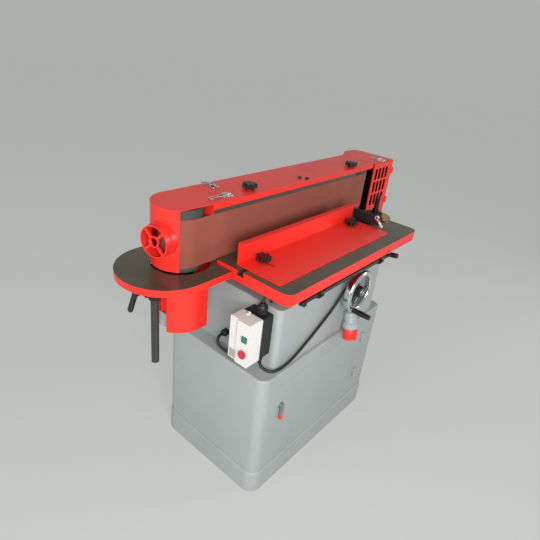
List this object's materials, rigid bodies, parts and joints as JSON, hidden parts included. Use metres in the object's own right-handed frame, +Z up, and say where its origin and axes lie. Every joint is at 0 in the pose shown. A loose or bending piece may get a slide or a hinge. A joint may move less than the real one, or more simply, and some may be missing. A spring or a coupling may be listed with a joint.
{
  "type": "edge sander",
  "caption": "Stationary edge sander with an upright endless belt, rise-and-fall table, round end table, mitre gauge and closed steel stand",
  "frame": {"origin": "middle of the plinth's footprint, on the floor", "axes": "+X along the sanding belt to the operator's right, -Y towards the operator, +Z up"},
  "size_m": [1.373, 0.5856, 1.0563],
  "materials": {
    "red_paint": "smooth gloss enamel",
    "grey_paint": "light grey textured enamel",
    "table_iron": "ground top, red painted rim",
    "bright_steel": "machined",
    "bright_chrome": "polished plating",
    "drum_aluminium": "turned",
    "black_paint": "satin black",
    "black_plastic": "moulded",
    "abrasive_cloth": "brown abrasive grain on cloth",
    "scale_brass": "stamped",
    "fan_grey": "pressed sheet",
    "white_plastic": "moulded",
    "green_plastic": "moulded",
    "red_plastic": "moulded",
    "grey_plastic": "moulded",
    "black_rubber": "smooth jacket"
  },
  "bodies": {
    "stand": {"base_plinth": "grey_paint", "lower_cabinet": "grey_paint", "upper_frame": "grey_paint", "column_bushes": "bright_steel", "lock_bar_brackets": "black_paint", "post_clamp": "black_paint", "head_base": "red_paint", "head_beam": "red_paint", "platen": "bright_steel", "sanding_belt": "abrasive_cloth", "motor_body": "red_paint", "motor_fan_cover": "fan_grey", "motor_guard": "red_paint", "top_cover": "red_paint", "cover_bolts": "bright_steel", "rear_guard": "red_paint", "right_end_cover": "red_paint", "cover_latches": "bright_steel", "switch_base": "black_plastic", "switch_cover": "white_plastic", "cable_glands": "black_plastic", "switch_leads": "black_rubber", "mains_cord": "black_rubber", "plug_body": "grey_plastic", "plug_shroud": "red_plastic"},
    "handwheel_unit": {"handwheel": "bright_chrome", "handwheel_shaft": "bright_steel"},
    "lift_gear": {"gear_nut": "bright_steel"},
    "table_unit": {"main_table": "table_iron", "table_saddle": "table_iron", "guide_columns": "bright_steel", "lift_screw": "bright_steel", "fence_t_bolts": "bright_steel"},
    "crank": {"crank_handle": "black_plastic"},
    "fence": {"edge_fence": "red_paint"},
    "fence_clamp_left": {"fence_knob_left": "black_plastic"},
    "fence_clamp_right": {"fence_knob_right": "black_plastic"},
    "gauge_slider": {"gauge_bar": "bright_steel", "gauge_scale": "scale_brass"},
    "gauge_swivel": {"gauge_head": "black_paint"},
    "gauge_grip": {"gauge_handle": "black_plastic"},
    "gauge_clamp": {"gauge_lever": "bright_chrome"},
    "table_lock": {"lock_bar": "black_paint"},
    "end_table_unit": {"end_table": "table_iron", "end_table_post": "black_paint"},
    "post_lever": {"clamp_lever": "black_paint"},
    "drive": {"drive_drum": "drum_aluminium", "drive_spindle": "bright_steel"},
    "tension_screw": {"tension_knob": "black_plastic"},
    "tension_carriage": {"tension_slide": "bright_steel"},
    "idler": {"idler_drum": "drum_aluminium"},
    "left_cover": {"left_end_cover": "red_paint", "dust_port": "red_paint"},
    "grille": {"grille_door": "red_paint"},
    "cover_knob_left": {"top_knob_left": "black_plastic"},
    "cover_knob_right": {"top_knob_right": "black_plastic"},
    "door": {"cabinet_door": "grey_paint"},
    "door_handle": {"door_latch": "red_plastic"},
    "start_button": {"on_button": "green_plastic"},
    "stop_button": {"off_button": "red_plastic"}
  },
  "joints": [
    {"name": "handwheel_turn", "type": "hinge", "parent": "stand", "child": "handwheel_unit", "pos_m": [0.07, -0.262, 0.702], "axis": [0, -1, 0], "range_deg": [0, 6480]},
    {"name": "lift_gear_turn", "type": "hinge", "parent": "stand", "child": "lift_gear", "pos_m": [0.07, -0.12, 0.66], "axis": [0, 0, 1], "range_deg": [0, 6480]},
    {"name": "table_lift", "type": "slide", "parent": "stand", "child": "table_unit", "axis": [0, 0, 1], "range_m": [0, 0.09]},
    {"name": "crank_spin", "type": "hinge", "parent": "handwheel_unit", "child": "crank", "pos_m": [0.02885, -0.262, 0.64537], "axis": [0, -1, 0], "continuous": true},
    {"name": "fence_shift", "type": "slide", "parent": "table_unit", "child": "fence", "axis": [0, 1, 0], "range_m": [-0.008, 0.04]},
    {"name": "fence_clamp_left_turn", "type": "hinge", "parent": "table_unit", "child": "fence_clamp_left", "pos_m": [-0.28, -0.096, 0.87], "axis": [0, 0, 1], "range_deg": [0, 720]},
    {"name": "fence_clamp_right_turn", "type": "hinge", "parent": "table_unit", "child": "fence_clamp_right", "pos_m": [0.23, -0.096, 0.87], "axis": [0, 0, 1], "range_deg": [0, 720]},
    {"name": "gauge_slide", "type": "slide", "parent": "table_unit", "child": "gauge_slider", "axis": [1, 0, 0], "range_m": [-0.0045, 0.04]},
    {"name": "gauge_swing", "type": "hinge", "parent": "gauge_slider", "child": "gauge_swivel", "pos_m": [0.415, -0.096, 0.868], "axis": [0, 0, 1], "range_deg": [-30, 30]},
    {"name": "gauge_grip_turn", "type": "hinge", "parent": "gauge_swivel", "child": "gauge_grip", "pos_m": [0.415, -0.096, 0.9], "axis": [0, 0, 1], "range_deg": [0, 720]},
    {"name": "gauge_clamp_turn", "type": "hinge", "parent": "gauge_swivel", "child": "gauge_clamp", "pos_m": [0.3017, -0.163, 0.897], "axis": [-1, 0, 0], "range_deg": [0, 90]},
    {"name": "table_lock_turn", "type": "hinge", "parent": "stand", "child": "table_lock", "pos_m": [0, -0.268, 0.797], "axis": [-1, 0, 0], "range_deg": [0, 25]},
    {"name": "end_table_lift", "type": "slide", "parent": "stand", "child": "end_table_unit", "axis": [0, 0, 1], "range_m": [0, 0.045]},
    {"name": "post_lever_turn", "type": "hinge", "parent": "stand", "child": "post_lever", "pos_m": [-0.573, 0.087, 0.786], "axis": [1, 0, 0], "range_deg": [-57, 13]},
    {"name": "drive_spin", "type": "hinge", "parent": "stand", "child": "drive", "pos_m": [-0.459, 0.0805, 0.919], "axis": [0, 0, 1], "continuous": true},
    {"name": "tension_turn", "type": "hinge", "parent": "stand", "child": "tension_screw", "pos_m": [0.694, 0.0805, 0.8238], "axis": [1, 0, 0], "range_deg": [0, 1440]},
    {"name": "tension_shift", "type": "slide", "parent": "stand", "child": "tension_carriage", "axis": [-1, 0, 0], "range_m": [0, 0.008]},
    {"name": "idler_spin", "type": "hinge", "parent": "tension_carriage", "child": "idler", "pos_m": [0.467, 0.0805, 0.919], "axis": [0, 0, 1], "continuous": true},
    {"name": "left_cover_swing", "type": "hinge", "parent": "stand", "child": "left_cover", "pos_m": [-0.34, 0.174, 0.943], "axis": [0, 0, -1], "range_deg": [0, 120]},
    {"name": "grille_swing", "type": "hinge", "parent": "stand", "child": "grille", "pos_m": [0.694, 0.0007, 0.908], "axis": [0, 0, 1], "range_deg": [0, 110]},
    {"name": "cover_knob_left_turn", "type": "hinge", "parent": "stand", "child": "cover_knob_left", "pos_m": [-0.207, 0.052, 1.05], "axis": [0, 0, 1], "range_deg": [0, 720]},
    {"name": "cover_knob_right_turn", "type": "hinge", "parent": "stand", "child": "cover_knob_right", "pos_m": [0.379, 0.036, 1.05], "axis": [0, 0, 1], "range_deg": [0, 720]},
    {"name": "door_swing", "type": "hinge", "parent": "stand", "child": "door", "pos_m": [0.256, -0.2393, 0.303], "axis": [0, 0, 1], "range_deg": [0, 110]},
    {"name": "door_handle_turn", "type": "hinge", "parent": "door", "child": "door_handle", "pos_m": [-0.27, -0.2343, 0.362], "axis": [0, -1, 0], "range_deg": [0, 90]},
    {"name": "start_press", "type": "slide", "parent": "stand", "child": "start_button", "axis": [1, 0, 0], "range_m": [0, 0.003], "stiffness_N_per_m": 300, "springref_m": -0.002},
    {"name": "stop_press", "type": "slide", "parent": "stand", "child": "stop_button", "axis": [1, 0, 0], "range_m": [0, 0.003], "stiffness_N_per_m": 300, "springref_m": -0.002}
  ],
  "couplings": [
    {"joint": "handwheel_turn", "follows": "table_lift", "rad_per_m": 1256.6},
    {"joint": "lift_gear_turn", "follows": "table_lift", "rad_per_m": 1256.6},
    {"joint": "tension_turn", "follows": "tension_shift", "rad_per_m": 3141.6},
    {"joint": "idler_spin", "follows": "drive_spin", "ratio": 1}
  ]
}
